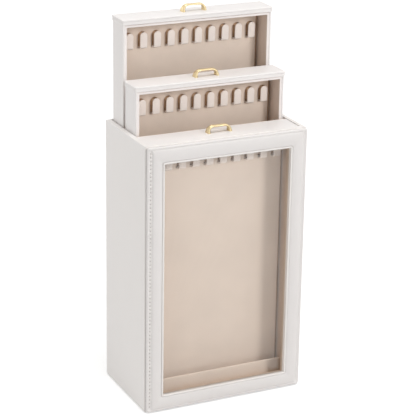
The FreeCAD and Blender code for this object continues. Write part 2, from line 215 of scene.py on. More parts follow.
class PaddingSettings(bpy.types.PropertyGroup):
    """Padded front and its stitches"""
    height: length_property("Height", "Thickness of the padding at the middle of a rail", 7.1 * MM)
    side_crown: length_property("Side crown", "Extra height along the middle of the sides", 1.9 * MM)
    top_crown: length_property("Top crown", "Extra height along the middle of the top and bottom", 0.9 * MM)
    corner: length_property("Corner", "Radius of the outer corners", 3.0 * MM)
    edge_roll: length_property("Edge roll", "Radius of the rolled outer edge", 1.8 * MM)
    gap_depth: length_property("Gap depth", "Depth of the shaded gap beside the padding", 1.9 * MM)
    edge_tuck: length_property("Edge tuck", "How far the outer edge is drawn in at the board", 1.6 * MM)
    lip_gap: length_property("Lip gap", "Gap between the padding and the window trim", 0.15 * MM)
    lip_corner: length_property("Lip corner", "Corner radius of the cut for the trim", 3.1 * MM)
    lip_height: length_property("Lip height", "Height of the window trim above the board", 6.0 * MM)
    lip_width: length_property("Lip width", "Width of the window trim", 2.7 * MM)
    lip_rise: length_property("Lip rise", "How much higher the trim sits than its sleeve", 1.1 * MM)
    lip_edge: length_property("Lip edge", "Rounding of the window trim", 0.9 * MM)
    sleeve: length_property("Sleeve", "Thickness of the trim's sleeve inside the board", 0.9 * MM)
    reveal_height: length_property("Reveal height", "Height of the velvet's edge above the board", 0.9 * MM)
    reveal: length_property("Reveal", "Thickness of the velvet inside the trim", 0.25 * MM)
    lip_roll: length_property("Lip roll", "Radius of the edge beside the trim", 1.3 * MM)
    side_channel: length_property("Side channel", "From the side edge to the stitch line", 5.0 * MM)
    top_channel: length_property("Top channel", "From the top edge to the pressed line", 3.0 * MM)
    channel_depth: length_property("Channel depth", "Depth that the stitches pull down", 0.8 * MM)
    channel_run: length_property("Channel run", "Half of the channel's width", 2.0 * MM)
    stitch_pitch: length_property("Stitch pitch", "From one stitch to the next", 4.95 * MM)
    stitch_length: length_property("Stitch length", "Width of one whipped stitch across the seam", 3.8 * MM)
    thread_radius: length_property("Thread radius", "Half of the thread's thickness", 1.0 * MM)
    stitch_margin: length_property("Stitch margin", "Left free at each end of a row", 6.0 * MM)


class HookSettings(bpy.types.PropertyGroup):
    """Hooks and the panels that carry them"""
    count: IntProperty(name="Count", description="Hooks on one panel", min=1, default=10)
    width: length_property("Width", "Width of a hook", 9.6 * MM)
    thickness: length_property("Thickness", "Board and velvet of a hook", 1.6 * MM)
    foot: length_property("Foot", "Length glued behind the panel", 10.0 * MM)
    lean: angle_property("Lean", "Forward lean of a hook", 2.0)
    standoff: length_property("Standoff", "Gap between a hook and its panel", 4.3 * MM)
    cutout_gap: length_property("Cut-out gap", "Cut-out beyond the hook on each side", 0.7 * MM)
    edge_round: length_property("Edge rounding", "Softness of the panel's edges", 0.35 * MM)


class HandleSettings(bpy.types.PropertyGroup):
    """Bridge handles"""
    thickness: length_property("Thickness", "Thickness of the strap at its middle", 2.1 * MM)
    bend: length_property("Bend", "Radius of the bends along the middle of the bar", 7.0 * MM)
    spread: FloatProperty(name="Spread", description="Width at the feet as a share of the fitting's width",
                          min=0.5, max=1.5, default=1.3)
    rib: length_property("Rib", "Depth of the grooves along the strap", 0.25 * MM)
    ribs: IntProperty(name="Ribs", description="Raised ribs along the strap", min=1, default=4)
    foot_flare: FloatProperty(name="Foot flare", description="How much wider the feet are than the middle",
                              min=0.0, default=1.2)


class CapSettings(bpy.types.PropertyGroup):
    """Caps of the drawers"""
    corner: length_property("Corner", "Radius of the corners seen from above", 2.4 * MM)
    top_roll: length_property("Top roll", "Rounding of the upper edge", 1.1 * MM)
    seam_roll: length_property("Seam roll", "Rounding at the seam between the two boards", 0.8 * MM)
    foot_roll: length_property("Foot roll", "Rounding of the lower edge", 1.1 * MM)
    seam_height: length_property("Seam height", "Height of the seam's bottom", 0.7 * MM)
    seam_depth: length_property("Seam depth", "Depth of the seam behind the lower board", 2.4 * MM)


class OrganizerSettings(bpy.types.PropertyGroup):
    """Everything that a user may change"""
    stage: PointerProperty(type=StageSettings)
    finish: PointerProperty(type=FinishSettings)
    padding: PointerProperty(type=PaddingSettings)
    hooks: PointerProperty(type=HookSettings)
    handle: PointerProperty(type=HandleSettings)
    cap: PointerProperty(type=CapSettings)


def settings():
    """Values of this scene's organizer."""
    return bpy.context.scene.organizer


# Mesh helpers

def add_object(name, data):
    """New object in the scene with the given mesh, curve, lamp or camera."""
    made = bpy.data.objects.new(name, data)
    bpy.context.scene.collection.objects.link(made)
    return made


def object_from_bmesh(name, shape):
    """New object in the scene from a bmesh, with its normals turned outwards."""
    bmesh.ops.remove_doubles(shape, verts=shape.verts, dist=1e-6)
    bmesh.ops.recalc_face_normals(shape, faces=shape.faces)
    mesh = bpy.data.meshes.new(name)
    shape.to_mesh(mesh)
    shape.free()
    return add_object(name, mesh)


def evaluated_mesh(made):
    """Plain mesh of what an object shows with its modifiers or curve settings."""
    bpy.context.view_layer.update()
    depsgraph = bpy.context.evaluated_depsgraph_get()
    return bpy.data.meshes.new_from_object(made.evaluated_get(depsgraph), depsgraph=depsgraph)


def smooth(made, degrees=PLAIN_SHARP):
    """Smooth shading that keeps the edges sharper than the angle."""
    made.data.polygons.foreach_set("use_smooth", [True] * len(made.data.polygons))
    made.data.set_sharp_from_angle(angle=math.radians(degrees))
    return made


def bake(made):
    """Replaces an object's mesh with what its modifiers make of it, and removes them."""
    result = evaluated_mesh(made)
    made.modifiers.clear()
    made.data = result
    return made


def bevelled(made, width):
    """Rounds the sharp edges of an object."""
    bevel = made.modifiers.new("Bevel", "BEVEL")
    bevel.width = width
    bevel.segments = 3
    bevel.limit_method = "ANGLE"
    bevel.angle_limit = math.radians(PLAIN_SHARP)
    return smooth(bake(made))


def paint(made, material):
    """Gives an object one material."""
    made.data.materials.clear()
    made.data.materials.append(material)


def fit(made, body, slot, *nodes):
    """Lets a finished piece ride on its body and stand for the CAD nodes that it covers."""
    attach(made, body)
    if nodes:
        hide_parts(*nodes)


def add_piece(name, shape, look, body, slot, *nodes, sharp=None, rounding=None):
    """Turns a bmesh into a finished piece, with smooth shading or rounded edges where they are given."""
    made = object_from_bmesh(name, shape)
    if rounding:
        bevelled(made, rounding)
    elif sharp:
        smooth(made, sharp)
    paint(made, finish(look))
    fit(made, body, slot, *nodes)
    return made


def loft(loops, close_round=False):
    """Skin over loops of equal length, closed by end faces or by joining the last loop to the first."""
    shape = bmesh.new()
    rows = [[shape.verts.new(point) for point in loop] for loop in loops]
    pairs = list(zip(rows, rows[1:]))
    if close_round:
        pairs.append((rows[-1], rows[0]))
    for low, high in pairs:
        for index in range(len(low)):
            after = (index + 1) % len(low)
            shape.faces.new((low[index], low[after], high[after], high[index]))
    if not close_round:
        shape.faces.new(rows[0])
        shape.faces.new(rows[-1])
    return shape


def rounded_rectangle(half_x, low_z, high_z, radius, arc_steps=6, edge_steps=10):
    """Loop of (x, z) points, with arcs at the corners and evenly divided straights."""
    centres = (
        (half_x - radius, high_z - radius, 0),
        (radius - half_x, high_z - radius, 90),
        (radius - half_x, low_z + radius, 180),
        (half_x - radius, low_z + radius, 270),
    )
    arcs = []
    for x, z, start in centres:
        turns = [math.radians(start + 90 * step / arc_steps) for step in range(arc_steps + 1)]
        arcs.append([(x + radius * math.cos(turn), z + radius * math.sin(turn)) for turn in turns])
    points = []
    for index, arc in enumerate(arcs):
        points.extend(arc)
        start = Vector(arc[-1])
        end = Vector(arcs[(index + 1) % len(arcs)][0])
        points.extend(tuple(start.lerp(end, step / edge_steps)) for step in range(1, edge_steps))
    return points


def rounded_plan(half_x, half_y, radius, arc_steps=5):
    """Loop of (x, y) points about the middle, with arcs at the corners."""
    points = []
    for x_side, y_side, start in ((1, 1, 0), (-1, 1, 90), (-1, -1, 180), (1, -1, 270)):
        for step in range(arc_steps + 1):
            turn = math.radians(start + 90 * step / arc_steps)
            points.append((x_side * (half_x - radius) + radius * math.cos(turn),
                           y_side * (half_y - radius) + radius * math.sin(turn)))
    return points


def box_bmesh(low, high):
    """Box between two corners."""
    shape = bmesh.new()
    bmesh.ops.create_cube(shape, size=1.0)
    middle = (Vector(low) + Vector(high)) / 2
    size = Vector(high) - Vector(low)
    for vertex in shape.verts:
        vertex.co = Vector(vertex.co[axis] * size[axis] for axis in range(3)) + middle
    return shape


# Geometry node trees

def maths_node(tree, operation, first, second):
    """Result of one sum on numbers or sockets, in a shader tree or a geometry tree."""
    node = tree.nodes.new("ShaderNodeMath")
    node.operation = operation
    for socket, value in zip(node.inputs, (first, second)):
        if isinstance(value, (int, float)):
            socket.default_value = value
        else:
            tree.links.new(value, socket)
    return node.outputs[0]


def new_geometry_tree(name, inputs):
    """Empty tree with named inputs, each a (name, socket type) pair, and one geometry output."""
    tree = bpy.data.node_groups.new(name, "GeometryNodeTree")
    tree.interface.new_socket("Geometry", in_out="INPUT", socket_type="NodeSocketGeometry")
    for label, kind in inputs:
        tree.interface.new_socket(label, in_out="INPUT", socket_type=kind)
    tree.interface.new_socket("Geometry", in_out="OUTPUT", socket_type="NodeSocketGeometry")
    entry = tree.nodes.new("NodeGroupInput")
    leave = tree.nodes.new("NodeGroupOutput")
    return tree, entry, leave


def run_tree(made, tree, values):
    """Puts the tree on the object, sets its inputs by identifier and turns the result into a mesh."""
    modifier = made.modifiers.new(tree.name, "NODES")
    modifier.node_group = tree
    for item in tree.interface.items_tree:
        if item.item_type == "SOCKET" and item.in_out == "INPUT" and item.name in values:
            modifier[item.identifier] = values[item.name]
    return bake(made)


def finish_tree(tree, entry, leave, geometry):
    """Ends a tree in Realize Instances and Set Material."""
    realize = tree.nodes.new("GeometryNodeRealizeInstances")
    set_material = tree.nodes.new("GeometryNodeSetMaterial")
    tree.links.new(geometry, realize.inputs["Geometry"])
    tree.links.new(realize.outputs["Geometry"], set_material.inputs["Geometry"])
    tree.links.new(entry.outputs["Material"], set_material.inputs["Material"])
    tree.links.new(set_material.outputs["Geometry"], leave.inputs["Geometry"])


def row_tree():
    """Copies one piece along a straight row."""
    tree, entry, leave = new_geometry_tree("Row of copies", (
        ("Piece", "NodeSocketObject"), ("Count", "NodeSocketInt"), ("Start", "NodeSocketVector"),
        ("Step", "NodeSocketVector"), ("Material", "NodeSocketMaterial")))
    line = tree.nodes.new("GeometryNodeMeshLine")
    info = tree.nodes.new("GeometryNodeObjectInfo")
    copies = tree.nodes.new("GeometryNodeInstanceOnPoints")
    tree.links.new(entry.outputs["Count"], line.inputs["Count"])
    tree.links.new(entry.outputs["Start"], line.inputs["Start Location"])
    tree.links.new(entry.outputs["Step"], line.inputs["Offset"])
    tree.links.new(entry.outputs["Piece"], info.inputs["Object"])
    tree.links.new(line.outputs["Mesh"], copies.inputs["Points"])
    tree.links.new(info.outputs["Geometry"], copies.inputs["Instance"])
    finish_tree(tree, entry, leave, copies.outputs["Instances"])
    return tree


def add_row(name, piece, count, start, step, look, body, slot, *nodes):
    """Finished piece made of a row of copies of a small one, which is used up."""
    tree = bpy.data.node_groups.get("Row of copies") or row_tree()
    row = add_object(name, bpy.data.meshes.new(name))
    run_tree(row, tree, {"Piece": piece, "Count": count, "Start": start, "Step": step,
                         "Material": finish(look)})
    smooth(row)
    bpy.data.objects.remove(piece)
    fit(row, body, slot, *nodes)


def handle_tree():
    """Sweeps a rounded strap along a bridge: up one leg, over and down the other."""
    tree, entry, leave = new_geometry_tree("Bridge handle", (
        ("Length", "NodeSocketFloat"), ("Height", "NodeSocketFloat"), ("Bend", "NodeSocketFloat"),
        ("Thickness", "NodeSocketFloat"), ("Section", "NodeSocketObject"),
        ("Foot flare", "NodeSocketFloat"), ("Material", "NodeSocketMaterial")))
    nodes = tree.nodes
    links = tree.links

    def maths(operation, first, second):
        return maths_node(tree, operation, first, second)

    half = maths("MULTIPLY", maths("SUBTRACT", entry.outputs["Length"], entry.outputs["Thickness"]), 0.5)
    top = maths("SUBTRACT", entry.outputs["Height"], maths("MULTIPLY", entry.outputs["Thickness"], 0.5))
    corners = nodes.new("GeometryNodeIndexSwitch")
    corners.data_type = "VECTOR"
    while len(corners.index_switch_items) < 4:
        corners.index_switch_items.new()
    for place, (side, rises) in enumerate(((-1, False), (-1, True), (1, True), (1, False))):
        corner = nodes.new("ShaderNodeCombineXYZ")
        links.new(maths("MULTIPLY", half, side), corner.inputs["X"])
        if rises:
            links.new(top, corner.inputs["Z"])
        links.new(corner.outputs[0], corners.inputs[place + 1])
    index = nodes.new("GeometryNodeInputIndex")
    links.new(index.outputs[0], corners.inputs["Index"])
    line = nodes.new("GeometryNodeMeshLine")
    line.inputs["Count"].default_value = 4
    placed = nodes.new("GeometryNodeSetPosition")
    links.new(line.outputs["Mesh"], placed.inputs["Geometry"])
    links.new(corners.outputs[0], placed.inputs["Position"])
    to_curve = nodes.new("GeometryNodeMeshToCurve")
    links.new(placed.outputs["Geometry"], to_curve.inputs["Mesh"])
    bends = nodes.new("GeometryNodeFilletCurve")
    bends.mode = "POLY"
    bends.inputs["Count"].default_value = BEND_POINTS
    links.new(to_curve.outputs["Curve"], bends.inputs["Curve"])
    links.new(entry.outputs["Bend"], bends.inputs["Radius"])
    even = nodes.new("GeometryNodeResampleCurve")
    even.inputs["Count"].default_value = STRAP_POINTS
    links.new(bends.outputs["Curve"], even.inputs["Curve"])

    # The strap widens towards its feet with a power of the distance from its middle
    along = nodes.new("GeometryNodeSplineParameter")
    from_middle = maths("ABSOLUTE", maths("SUBTRACT", along.outputs["Factor"], 0.5), 0.0)
    share = maths("POWER", maths("MULTIPLY", from_middle, 2.0), STRAP_POWER)
    scale = maths("ADD", maths("MULTIPLY", share, entry.outputs["Foot flare"]), 1.0)

    section = nodes.new("GeometryNodeObjectInfo")
    links.new(entry.outputs["Section"], section.inputs["Object"])
    sweep = nodes.new("GeometryNodeCurveToMesh")
    sweep.inputs["Fill Caps"].default_value = True
    links.new(scale, sweep.inputs["Scale"])
    links.new(even.outputs["Curve"], sweep.inputs["Curve"])
    links.new(section.outputs["Geometry"], sweep.inputs["Profile Curve"])
    finish_tree(tree, entry, leave, sweep.outputs["Mesh"])
    return tree


# Shader node groups

def new_surface_group(name, scales):
    """Empty shader group with the sockets that all surfaces share and the scales of its own textures."""
    group = bpy.data.node_groups.new(name, "ShaderNodeTree")
    for label, kind in (("Colour", "NodeSocketColor"), ("Vector", "NodeSocketVector")):
        group.interface.new_socket(label, in_out="INPUT", socket_type=kind)
    for label, scale in scales.items():
        socket = group.interface.new_socket(label, in_out="INPUT", socket_type="NodeSocketFloat")
        socket.default_value = scale
    for label, kind in (("Colour", "NodeSocketColor"), ("Height", "NodeSocketFloat"),
                        ("Roughness", "NodeSocketFloat")):
        group.interface.new_socket(label, in_out="OUTPUT", socket_type=kind)
    return group, group.nodes.new("NodeGroupInput"), group.nodes.new("NodeGroupOutput")


def texture(group, entry, scale, kind="ShaderNodeTexNoise", **options):
    """Texture on the group's vector, scaled by one of its inputs."""
    node = group.nodes.new(kind)
    group.links.new(entry.outputs["Vector"], node.inputs["Vector"])
    group.links.new(entry.outputs[scale], node.inputs["Scale"])
    for label, value in options.items():
        node.inputs[label].default_value = value
    return node


def ranged(tree, value, span, new_span):
    """A value moved from one span to another."""
    node = tree.nodes.new("ShaderNodeMapRange")
    tree.links.new(value, node.inputs["Value"])
    for label, number in zip(("From Min", "From Max", "To Min", "To Max"), span + new_span):
        node.inputs[label].default_value = number
    return node.outputs["Result"]


def end_surface_group(group, entry, leave, tone, height, roughness):
    """Sends out the colour times a tone near 1, the height of the relief and the roughness."""
    tinted = group.nodes.new("ShaderNodeVectorMath")
    tinted.operation = "SCALE"
    group.links.new(entry.outputs["Colour"], tinted.inputs[0])
    group.links.new(tone, tinted.inputs["Scale"])
    group.links.new(tinted.outputs["Vector"], leave.inputs["Colour"])
    group.links.new(height, leave.inputs["Height"])
    group.links.new(roughness, leave.inputs["Roughness"])
    return group


def leather_group():
    """Fine pebbled grain, with faint clouds where the leather is stretched over board."""
    group, entry, leave = new_surface_group("Leather grain", {"Grain": 1500.0, "Cloud": 14.0})
    cells = texture(group, entry, "Grain", "ShaderNodeTexVoronoi", Randomness=0.9)
    cells.feature = "SMOOTH_F1"
    pores = texture(group, entry, "Grain", Detail=3.0, Roughness=0.6)
    clouds = texture(group, entry, "Cloud", Detail=3.0, Roughness=0.55).outputs["Fac"]
    grain = maths_node(group, "ADD", cells.outputs["Distance"], pores.outputs["Fac"])
    tone = maths_node(group, "MULTIPLY", ranged(group, grain, GRAIN_SPAN, GRAIN_TONE),
                      ranged(group, clouds, NOISE_SPAN, CLOUD_TONE))
    roughness = ranged(group, clouds, NOISE_SPAN, LEATHER_ROUGHNESS)
    return end_surface_group(group, entry, leave, tone, grain, roughness)


def velvet_group():
    """Short pile: a fine speckle with broad, soft patches where the pile is brushed the other way."""
    group, entry, leave = new_surface_group("Velvet pile", {"Pile": 2600.0, "Patch": 24.0})
    pile = texture(group, entry, "Pile", Detail=2.0, Roughness=0.7).outputs["Fac"]
    patch = texture(group, entry, "Patch", Detail=3.0, Roughness=0.6).outputs["Fac"]
    tone = maths_node(group, "MULTIPLY", ranged(group, pile, NOISE_SPAN, PILE_TONE),
                      ranged(group, patch, PATCH_SPAN, PATCH_TONE))
    roughness = ranged(group, patch, PATCH_SPAN, VELVET_ROUGHNESS)
    return end_surface_group(group, entry, leave, tone, pile, roughness)


def polish_group():
    """Polished metal with soft smudges and a little brushed texture."""
    group, entry, leave = new_surface_group("Polished metal", {"Smudge": 120.0, "Brush": 1800.0})
    smudge = texture(group, entry, "Smudge", Detail=4.0, Roughness=0.6).outputs["Fac"]
    brush = texture(group, entry, "Brush", Detail=1.0, Roughness=0.5).outputs["Fac"]
    tone = ranged(group, smudge, NOISE_SPAN, SMUDGE_TONE)
    roughness = ranged(group, smudge, NOISE_SPAN, METAL_ROUGHNESS)
    return end_surface_group(group, entry, leave, tone, brush, roughness)


GROUPS = {"leather": ("Leather grain", leather_group), "velvet": ("Velvet pile", velvet_group),
          "metal": ("Polished metal", polish_group)}


# Materials

def grained_material(name, kind, colour, bump, scales=None, **principled):
    """Principled surface whose colour, roughness and bump come from one of the shared groups."""
    material = bpy.data.materials.new(name)
    material.use_nodes = True
    tree = material.node_tree
    shader = tree.nodes["Principled BSDF"]
    group_name, build = GROUPS[kind]
    node = tree.nodes.new("ShaderNodeGroup")
    node.node_tree = bpy.data.node_groups.get(group_name) or build()
    place = tree.nodes.new("ShaderNodeTexCoord")
    relief = tree.nodes.new("ShaderNodeBump")
    relief.inputs["Strength"].default_value = bump
    relief.inputs["Distance"].default_value = GRAIN_RELIEF
    node.inputs["Colour"].default_value = (*colour, 1.0)
    for label, value in (scales or {}).items():
        node.inputs[label].default_value = value
    tree.links.new(place.outputs["Object"], node.inputs["Vector"])
    tree.links.new(node.outputs["Colour"], shader.inputs["Base Color"])
    tree.links.new(node.outputs["Roughness"], shader.inputs["Roughness"])
    tree.links.new(node.outputs["Height"], relief.inputs["Height"])
    tree.links.new(relief.outputs["Normal"], shader.inputs["Normal"])
    for label, value in principled.items():
        shader.inputs[label.replace("_", " ")].default_value = value
    return material


def clear_pane_material():
    """Clear sheet that lets the lamps through to the velvet behind it."""
    material = bpy.data.materials.new("Clear pane")
    material.use_nodes = True
    tree = material.node_tree
    shader = tree.nodes["Principled BSDF"]
    shader.inputs["Base Color"].default_value = PANE_COLOUR
    shader.inputs["Roughness"].default_value = 0.02
    shader.inputs["IOR"].default_value = 1.46
    shader.inputs["Specular IOR Level"].default_value = 0.3
    shader.inputs["Transmission Weight"].default_value = 1.0
    clear = tree.nodes.new("ShaderNodeBsdfTransparent")
    rays = tree.nodes.new("ShaderNodeLightPath")
    passing = maths_node(tree, "MAXIMUM", rays.outputs["Is Shadow Ray"], rays.outputs["Is Diffuse Ray"])
    mixed = tree.nodes.new("ShaderNodeMixShader")
    tree.links.new(passing, mixed.inputs["Fac"])
    tree.links.new(shader.outputs["BSDF"], mixed.inputs[1])
    tree.links.new(clear.outputs["BSDF"], mixed.inputs[2])
    tree.links.new(mixed.outputs["Shader"], tree.nodes["Material Output"].inputs["Surface"])
    return material


def make_materials():
    """Every finish of the object, by name."""
    look = settings().finish

    def leather(name, colour, bump, **extras):
        return grained_material(name, "leather", colour, bump=bump, Specular_IOR_Level=0.38, **extras)

    def velvet(name, colour):
        return grained_material(name, "velvet", colour, bump=0.3, Sheen_Weight=0.25, Sheen_Roughness=0.4,
                                Specular_IOR_Level=0.2)

    return {
        "case_leather": leather("Wall leather", look.case_leather, 0.22),
        "front_leather": leather("Front leather", look.front_leather, 0.22),
        "drawer_leather": leather("Drawer leather", look.drawer_leather, 0.16),
        "lip": leather("Window lip", look.lip, 0.06, Coat_Weight=0.3, Coat_Roughness=0.25),
        "velvet": velvet("Beige velvet", look.velvet),
        "lining_velvet_painted_shade": velvet("Lining velvet", look.lining),
        "backing_velvet": velvet("Backing velvet", look.backing_painted_shade),
        "reveal_velvet_painted_shade": velvet("Reveal velvet", look.reveal),
        "edge_leather": leather("Edge leather", look.edge_leather, 0.16),
        "hook_velvet": velvet("Hook velvet", look.hook_velvet),
        "felt": grained_material("Base felt", "velvet", look.felt, bump=0.6, scales={"Pile": 1400.0}),
        "board": grained_material("Bare board", "velvet", look.board, bump=0.2, scales={"Pile": 900.0}),
        "gold": grained_material("Gold plate", "metal", look.gold, bump=0.03, Metallic=1.0),
        "steel": grained_material("Zinc plate", "metal", look.steel, bump=0.05, Metallic=1.0),
        "thread": grained_material("Thread", "velvet", look.thread, bump=0.4, scales={"Pile": 3600.0}),
        "stitch_dent": grained_material("Stitch dent", "leather", look.painted_shade_dent, bump=0.05),
        "seam": grained_material("Seam shade", "leather", look.seam, bump=0.05),
        "pane": clear_pane_material(),
    }


def finish(name):
    """One of the finishes; all of them are made on first use."""
    if "finishes" not in finish.__dict__:
        finish.finishes = make_materials()
    return finish.finishes[name]


# Pieces

CASE_FINISHES = {
    "left_side_panel": "case_leather", "right_side_panel": "case_leather", "back_panel": "case_leather",
    "front_board": "case_leather", "floor_panel": "board", "pane_bead": "board", "floor_lining": "velvet",
    "left_liner": "velvet", "right_liner": "velvet", "back_liner": "velvet", "front_divider": "velvet",
    "rear_divider": "velvet", "window_pane": "pane",
}
DRAWER_FINISHES = {
    "left_board": "drawer_leather", "right_board": "drawer_leather", "bottom_board": "drawer_leather",
    "back_board": "drawer_leather", "handle_screws": "steel",
}


class ORGANIZER_OT_boards(bpy.types.Operator):
    """Covers the plain boards of the case and drawers"""
    bl_idname = "organizer.boards"
    bl_label = "Cover the Boards"

    def execute(self, context):
        covered = dict(CASE_FINISHES)
        for drawer in DRAWERS:
            covered.update({f"{drawer}_{name}": kind for name, kind in DRAWER_FINISHES.items()})
        for node, kind in covered.items():
            paint(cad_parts[node], finish(kind))
        return {"FINISHED"}


def channel_half(inset):
    """Half of the width of the pressed channel, which keeps clear of the rolled edge."""
    pad = settings().padding
    return min(pad.channel_run, (inset - pad.edge_roll) / CHANNEL_SHARES[-1])


def padding_height(run, width, inset, crown):
    """Height of the leather at a distance from the outer edge, between the two rolled edges."""
    pad = settings().padding
    across = min(max((run - inset) / (width - inset), 0.0), 1.0)
    off_channel = abs(run - inset) / channel_half(inset)
    dip = pad.channel_depth * math.exp(-off_channel ** 4)
    return pad.height - crown + 4 * crown * across * (1 - across) - dip


def padding_profile(width, inset, crown):
    """Pairs of run and height across a rail: rolled edge, pressed channel, crown and edge at the trim."""
    pad = settings().padding
    shoulder = padding_height(pad.edge_roll, width, inset, crown)
    spring = shoulder - pad.edge_roll
    pairs = []
    for share in TUCK_SHARES:
        pairs.append((pad.edge_tuck * (1 - share) ** 2, spring * share))
    for step in range(8):
        turn = math.pi / 2 * step / 7
        pairs.append((pad.edge_roll * (1 - math.cos(turn)), spring + pad.edge_roll * math.sin(turn)))
    runs = [inset + channel_half(inset) * share for share in CHANNEL_SHARES]
    start = runs[-1]
    end = width - pad.lip_roll
    runs.extend(start + (end - start) * step / 8 for step in range(1, 9))
    pairs.extend((run, padding_height(run, width, inset, crown)) for run in runs)
    ledge = pairs[-1][1]
    for step in range(1, 5):
        turn = math.pi / 2 * step / 4
        pairs.append((end + pad.lip_roll * math.sin(turn), ledge - pad.lip_roll * (1 - math.cos(turn))))
    pairs.append((width, 0.0))
    return pairs


def window_opening():
    """Lowest and highest corner of the clear opening in the sleeve."""
    low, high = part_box("window_bezel")
    reach = Vector((LIP_REACH, 0.0, LIP_REACH))
    return low + reach, high - reach


def lip_outline():
    """Lowest and highest corner of the trim as it is seen from the front."""
    pad = settings().padding
    low, high = window_opening()
    grow = Vector((pad.lip_width, 0.0, pad.lip_width))
    rise = Vector((0.0, 0.0, pad.lip_rise))
    return low - grow + rise, high + grow + rise


def trim_ring(profile, board_y):
    """Ring round the window from pairs of reach outside the opening and height above the board."""
    pad = settings().padding
    low, high = window_opening()
    loops = []
    for reach, height in profile:
        raised = pad.lip_rise * min(max(height / pad.lip_edge, 0.0), 1.0)
        outline = rounded_rectangle(high.x + reach, low.z - reach + raised, high.z + reach + raised,
                                    max(WINDOW_CORNER + reach, TRIM_RADIUS_LEFT),
                                    arc_steps=5, edge_steps=2)
        loops.append([Vector((x, board_y - height, z)) for x, z in outline])
    return loft(loops, close_round=True)


class ORGANIZER_OT_window_trim(bpy.types.Operator):
    """Rolls the trim round the window and lines it with velvet"""
    bl_idname = "organizer.window_trim"
    bl_label = "Trim the Window"

    def execute(self, context):
        pad = settings().padding
        board_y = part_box("front_board")[0].y
        back = board_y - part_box("window_bezel")[1].y
        profile = [(0.0, back), (0.0, 0.0)]
        for side, centre in ((-1, pad.lip_edge), (1, pad.lip_width - pad.lip_edge)):
            for step in range(5):
                turn = math.pi / 2 * (step / 4 if side < 0 else 1 - step / 4)
                profile.append((centre + side * pad.lip_edge * math.cos(turn),
                                pad.lip_height - pad.lip_edge * (1 - math.sin(turn))))
        profile += [(pad.lip_width, 0.0), (pad.sleeve, 0.0), (pad.sleeve, back)]
        add_piece("window_trim", trim_ring(profile, board_y), "lip", "case", "padded_wrap", "window_bezel",
                  sharp=ROUND_SHARP)
        # Velvet inside the trim's sleeve; its darker colour is painted shade on the window's inner wall.
        rim = pad.reveal_height
        profile = [(0.0, back), (-pad.reveal, back), (-pad.reveal, rim), (0.0, rim)]
        add_piece("window_reveal", trim_ring(profile, board_y), "reveal_velvet_painted_shade", "case", "velvet",
                  sharp=ROUND_SHARP)
        return {"FINISHED"}


class ORGANIZER_OT_padded_front(bpy.types.Operator):
    """Builds the padded leather frame round the window"""
    bl_idname = "organizer.padded_front"
    bl_label = "Pad the Front"

    def execute(self, context):
        pad = settings().padding
        low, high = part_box("front_padding")
        lip_low, lip_high = lip_outline()
        outer = rounded_rectangle(high.x, low.z, high.z, pad.corner)
        inner = rounded_rectangle(lip_high.x + pad.lip_gap, lip_low.z - pad.lip_gap,
                                  lip_high.z + pad.lip_gap, pad.lip_corner)
        loops = []
        for (outer_x, outer_z), (inner_x, inner_z) in zip(outer, inner):
            nx = max(abs(outer_x) - high.x + pad.corner, 0.0)
            nz = max(outer_z - high.z + pad.corner, low.z + pad.corner - outer_z, 0.0)
            sideways = nx * nx / (nx * nx + nz * nz)
            width = abs(outer_x - inner_x) * sideways + abs(outer_z - inner_z) * (1 - sideways)
            inset = pad.top_channel + (pad.side_channel - pad.top_channel) * sideways
            crown = pad.top_crown + (pad.side_crown - pad.top_crown) * sideways
            loop = []
            for run, height in padding_profile(width, inset, crown):
                share = run / width
                loop.append(Vector((outer_x + (inner_x - outer_x) * share, high.y - height,
                                    outer_z + (inner_z - outer_z) * share)))
            loops.append(loop)
        # Dark boxes in the gaps beside the padding: painted shade for the shadow between the padding and the
        # side panels.
        for side in (-1, 1):
            near = side * (high.x - pad.edge_tuck * 0.5)
            far = side * (high.x - pad.edge_tuck)
            corners = (Vector((min(near, far), high.y - pad.gap_depth, low.z + pad.corner)),
                       Vector((max(near, far), high.y, high.z - pad.corner)))
            name = f"side_seam_{'left' if side < 0 else 'right'}"
            add_piece(name, box_bmesh(*corners), "seam", "case", "padded_wrap")
        made = add_piece("padded_front", loft(loops, close_round=True), "front_leather", "case",
                         "padded_wrap", "front_padding", sharp=PADDING_SHARP)
        return {"FINISHED"}


def thread_piece(length, radius):
    """One whipped stitch: a short, flat, round-ended bundle of thread lying across the seam."""
    loops = []
    steps = 10
    sides = 8
    for step in range(steps + 1):
        along = -1 + 2 * step / steps
        size = radius * max(math.sqrt(max(1 - along ** 4, 0.0)), 0.25)
        bow = -0.5 * radius * (1 - along * along)
        loops.append([
            Vector((along * length / 2, bow + 0.5 * size * math.sin(turn), size * math.cos(turn)))
            for turn in (2 * math.pi * side / sides for side in range(sides))
        ])
    return object_from_bmesh("thread_piece", loft(loops))


def dent_piece(radius):
    """One dent between two stitches: a shallow cup as wide as the seam, darker with painted shade."""
    loops = []
    sides = 10
    for size, depth in DENT_STEPS:
        loops.append([
            Vector((radius * size * math.cos(turn), radius * depth, 0.5 * radius * size * math.sin(turn)))
            for turn in (2 * math.pi * side / sides for side in range(sides))
        ])
    return object_from_bmesh("dent_piece", loft(loops))


